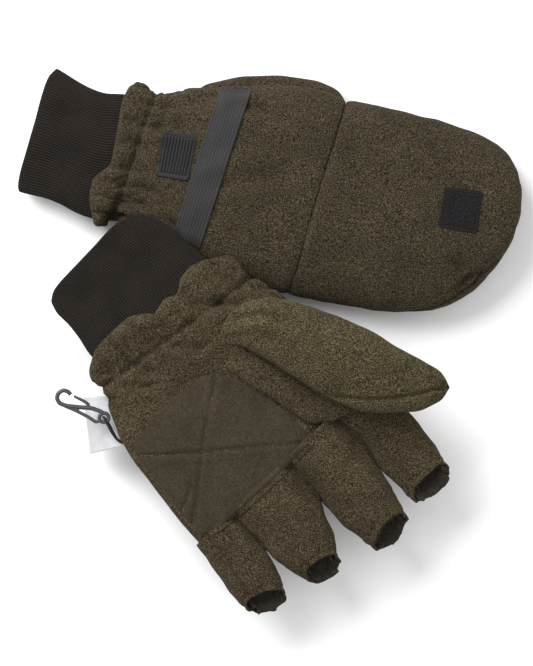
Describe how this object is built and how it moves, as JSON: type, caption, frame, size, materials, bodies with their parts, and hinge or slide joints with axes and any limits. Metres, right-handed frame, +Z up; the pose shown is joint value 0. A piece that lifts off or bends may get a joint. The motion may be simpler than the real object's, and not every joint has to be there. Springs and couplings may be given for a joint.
{
  "type": "convertible flip-top mittens",
  "caption": "Fleece convertible mittens with knit cuffs, open finger sleeves, fold-back hoods, thumb sleeves and a clip, lying as a pair",
  "frame": {"origin": "centre of the pair's plan box, on the surface they lie on", "axes": "+X and +Y along the surface, +Z up; the right mitten points mostly along +X, the left one at 44 degrees below +X"},
  "size_m": [0.2904, 0.305, 0.0626],
  "materials": {
    "fleece": "brushed pile",
    "lining": "matt",
    "insulation": "lofted fibre",
    "suede": "suede nap",
    "knit": "rib knit",
    "elastic": "ribbed webbing",
    "fastener": "hook and loop",
    "clip_plastic": "moulded",
    "label": "woven tape"
  },
  "bodies": {
    "right_mitten": {"right_back_panel": "fleece", "right_palm_panel": "fleece", "right_palm_patch": "suede", "right_insulation": "insulation", "right_lining": "lining", "right_wrist_elastic": "elastic", "right_knit_cuff": "knit", "right_hook_patch": "fastener", "right_stowage_strap": "elastic", "right_index_finger_sleeve": "fleece", "right_middle_finger_sleeve": "fleece", "right_ring_finger_sleeve": "fleece", "right_little_finger_sleeve": "fleece"},
    "right_hood": {"right_hood_back": "fleece", "right_hood_lining": "lining", "right_hood_palm_flap": "fleece", "right_loop_patch": "fastener"},
    "right_thumb": {"right_thumb_sleeve": "fleece"},
    "left_mitten": {"left_back_panel": "fleece", "left_palm_panel": "fleece", "left_palm_patch": "suede", "left_insulation": "insulation", "left_lining": "lining", "left_wrist_elastic": "elastic", "left_knit_cuff": "knit", "left_hook_patch": "fastener", "left_stowage_strap": "elastic", "left_care_label": "label", "left_hanger_loop": "fastener"},
    "left_hood": {"left_hood_back": "fleece", "left_hood_lining": "lining", "left_hood_palm_flap": "fleece", "left_loop_patch": "fastener"},
    "left_thumb": {"left_thumb_sleeve": "fleece"},
    "left_index_finger": {"left_index_finger_sleeve": "fleece"},
    "left_middle_finger": {"left_middle_finger_sleeve": "fleece"},
    "left_ring_finger": {"left_ring_finger_sleeve": "fleece"},
    "left_little_finger": {"left_little_finger_sleeve": "fleece"},
    "snap_hook": {"left_snap_hook_body": "clip_plastic"},
    "snap_gate": {"left_snap_gate": "clip_plastic"}
  },
  "joints": [
    {"name": "right_hood_flip", "type": "hinge", "parent": "right_mitten", "child": "right_hood", "pos_m": [0.02843, 0.07717, 0.0318], "axis": [-0.2862, -0.9582, 0], "range_deg": [0, 180], "deforming": ["right_hood_palm_flap"]},
    {"name": "right_thumb_swing", "type": "hinge", "parent": "right_mitten", "child": "right_thumb", "pos_m": [-0.0305, 0.12701, 0.0076], "axis": [0, 0, 1], "range_deg": [0, 35]},
    {"name": "left_mitten_lift", "type": "slide", "parent": "right_mitten", "child": "left_mitten", "axis": [0, 0, 1], "range_m": [0, 0.25]},
    {"name": "left_hood_flip", "type": "hinge", "parent": "left_mitten", "child": "left_hood", "pos_m": [0.01119, -0.07602, 0.0223], "axis": [-0.736, -0.677, 0], "range_deg": [0, 180], "deforming": ["left_hood_palm_flap"]},
    {"name": "left_thumb_swing", "type": "hinge", "parent": "left_mitten", "child": "left_thumb", "pos_m": [-0.01248, -0.00328, 0.0548], "axis": [0, 0, -1], "range_deg": [-15, 30]},
    {"name": "left_index_curl", "type": "hinge", "parent": "left_mitten", "child": "left_index_finger", "pos_m": [0.04732, -0.04279, 0.0418], "axis": [0.736, 0.677, 0], "range_deg": [-8, 0]},
    {"name": "left_middle_curl", "type": "hinge", "parent": "left_mitten", "child": "left_middle_finger", "pos_m": [0.02446, -0.06382, 0.0418], "axis": [0.736, 0.677, 0], "range_deg": [-55, 0]},
    {"name": "left_ring_curl", "type": "hinge", "parent": "left_mitten", "child": "left_ring_finger", "pos_m": [-0.00024, -0.08654, 0.0418], "axis": [0.736, 0.677, 0], "range_deg": [-55, 0]},
    {"name": "left_little_curl", "type": "hinge", "parent": "left_mitten", "child": "left_little_finger", "pos_m": [-0.02479, -0.10912, 0.0418], "axis": [0.736, 0.677, 0], "range_deg": [-55, 0]},
    {"name": "snap_hook_swing", "type": "hinge", "parent": "left_mitten", "child": "snap_hook", "pos_m": [-0.0932, -0.04908, 0.036], "axis": [0, 0, 1], "range_deg": [-8, 40]},
    {"name": "snap_gate_flex", "type": "hinge", "parent": "snap_hook", "child": "snap_gate", "pos_m": [-0.1025, -0.04228, 0.036], "axis": [0, 0, 1], "range_deg": [0, 18], "stiffness_Nm_per_rad": 0.01}
  ]
}
